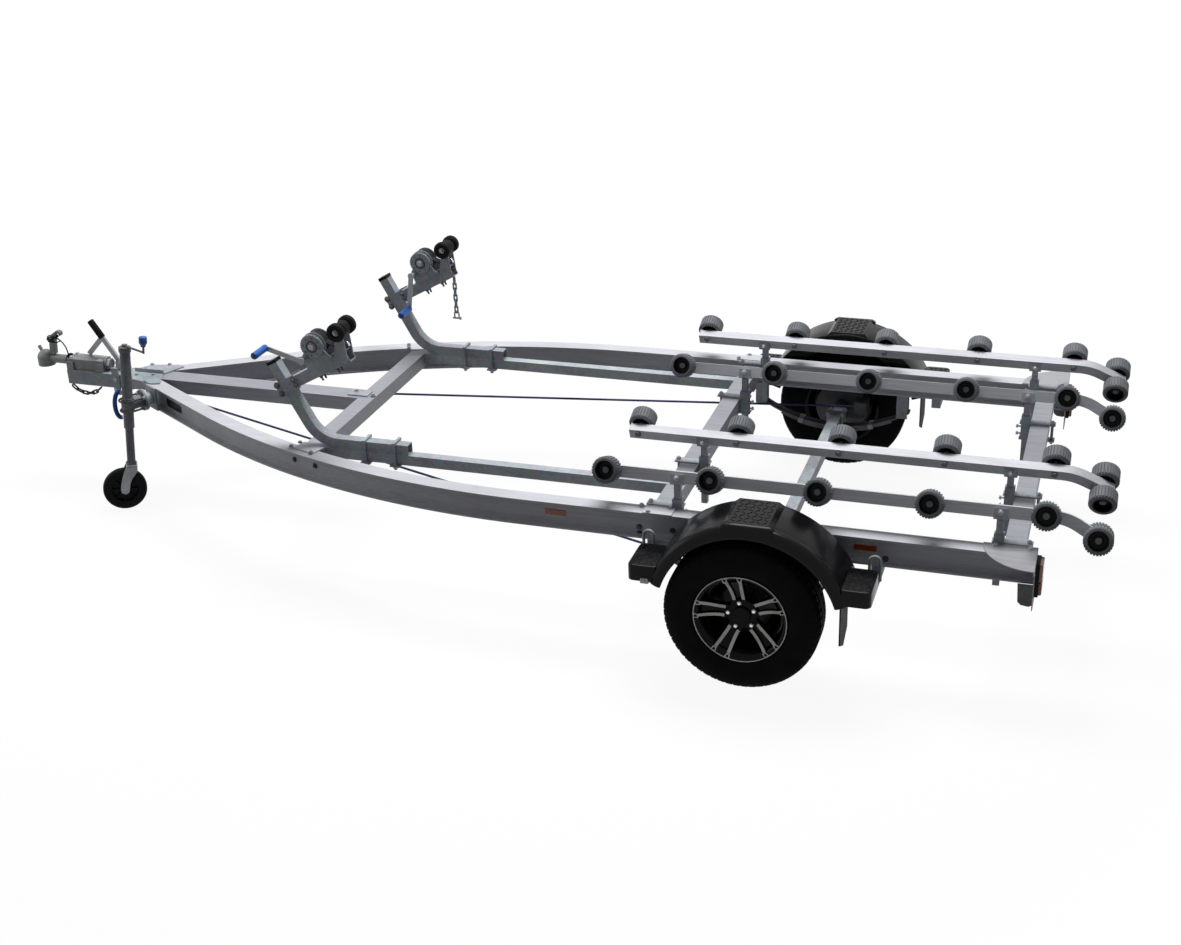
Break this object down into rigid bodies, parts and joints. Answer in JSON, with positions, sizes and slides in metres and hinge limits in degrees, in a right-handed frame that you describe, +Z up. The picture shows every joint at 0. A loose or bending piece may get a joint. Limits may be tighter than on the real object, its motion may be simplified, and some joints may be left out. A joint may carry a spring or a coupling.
{
  "type": "single axle trailer",
  "caption": "Single axle roller trailer with two cradles, two winch posts, mudguards with steps and a swing-up nose wheel",
  "frame": {"origin": "on the ground, under the middle of the whole box", "axes": "+X forward to the tow ball, +Y to the left side, +Z up"},
  "size_m": [5.0101, 2.25, 1.1346],
  "materials": {
    "aluminium": "mill",
    "galvanised": "matte",
    "zinc_plate": "satin",
    "cast_zinc": "cast",
    "spring_steel": "matte",
    "grey_rubber": "matte",
    "black_rubber": "matte",
    "black_plastic": "satin",
    "tyre": "matte",
    "rim_black": "gloss",
    "red_lens": "gloss",
    "amber_lens": "gloss",
    "cable_blue": "satin",
    "webbing": "woven"
  },
  "bodies": {
    "frame": {"left_rail": "aluminium", "right_rail": "aluminium", "drawbar": "aluminium", "cross_members": "aluminium", "cleats": "aluminium", "nose_plates": "galvanised", "stringers": "galvanised", "coupling_base": "galvanised", "coupling_housing": "cast_zinc", "coupling_head": "cast_zinc", "coupling_latch": "cast_zinc", "breakaway_cable": "black_rubber", "tow_chain": "galvanised", "axle_beam": "galvanised", "leaf_springs": "spring_steel", "spring_hangers": "galvanised", "axle_clamps": "galvanised", "brake_calipers": "cast_zinc", "brake_cables": "cable_blue", "left_mudguard": "black_plastic", "right_mudguard": "black_plastic", "guard_brackets": "galvanised", "mud_flaps": "black_rubber", "winch_posts": "galvanised", "post_clamps": "zinc_plate", "winch_arms": "galvanised", "winches": "zinc_plate", "winch_straps": "webbing", "bow_chain": "galvanised", "post_caps": "black_plastic", "roller_beams": "aluminium", "beam_uprights": "galvanised", "beam_clamps": "galvanised", "left_rollers": "grey_rubber", "right_rollers": "grey_rubber", "roller_pins": "zinc_plate", "lamp_plates": "aluminium", "tail_lamps": "red_lens", "side_reflectors": "amber_lens", "stand_mount": "galvanised", "brake_lever": "zinc_plate"},
    "left_wheel": {"left_tyre": "tyre", "left_rim": "rim_black", "left_hub": "spring_steel"},
    "right_wheel": {"right_tyre": "tyre", "right_rim": "rim_black", "right_hub": "spring_steel"},
    "stand": {"stand_tube": "zinc_plate"},
    "leg": {"stand_leg": "zinc_plate"},
    "caster": {"stand_fork": "zinc_plate"},
    "nose_wheel": {"nose_wheel": "black_rubber"},
    "left_handle": {"left_handle": "zinc_plate"},
    "right_handle": {"right_handle": "zinc_plate"},
    "left_bow_roller": {"left_bow_roller": "black_rubber"},
    "right_bow_roller": {"right_bow_roller": "black_rubber"}
  },
  "joints": [
    {"name": "left_wheel_spin", "type": "hinge", "parent": "frame", "child": "left_wheel", "pos_m": [-1.22613, 1.028, 0.298], "axis": [0, 1, 0], "continuous": true},
    {"name": "right_wheel_spin", "type": "hinge", "parent": "frame", "child": "right_wheel", "pos_m": [-1.22613, -1.028, 0.298], "axis": [0, 1, 0], "continuous": true},
    {"name": "stand_swing", "type": "hinge", "parent": "frame", "child": "stand", "pos_m": [1.83113, 0.1787, 0.507], "axis": [0.515, 0.8572, 0], "range_deg": [0, 90]},
    {"name": "leg_slide", "type": "slide", "parent": "stand", "child": "leg", "axis": [-0.0538, -0.0896, 0.9945], "range_m": [-0.08, 0.15]},
    {"name": "caster_turn", "type": "hinge", "parent": "leg", "child": "caster", "pos_m": [1.88703, 0.27174, 0.21638], "axis": [-0.0538, -0.0896, 0.9945], "continuous": true},
    {"name": "nose_wheel_spin", "type": "hinge", "parent": "caster", "child": "nose_wheel", "pos_m": [1.92208, 0.30242, 0.10038], "axis": [-0.5747, 0.8172, 0.0425], "continuous": true},
    {"name": "left_handle_turn", "type": "hinge", "parent": "frame", "child": "left_handle", "pos_m": [0.72062, 0.556, 0.97285], "axis": [0, 1, 0], "continuous": true},
    {"name": "right_handle_turn", "type": "hinge", "parent": "frame", "child": "right_handle", "pos_m": [0.72062, -0.556, 0.97285], "axis": [0, 1, 0], "continuous": true},
    {"name": "left_bow_roller_spin", "type": "hinge", "parent": "frame", "child": "left_bow_roller", "pos_m": [0.56847, 0.556, 1.09566], "axis": [0, 1, 0], "continuous": true},
    {"name": "right_bow_roller_spin", "type": "hinge", "parent": "frame", "child": "right_bow_roller", "pos_m": [0.56847, -0.556, 1.09566], "axis": [0, 1, 0], "continuous": true}
  ]
}
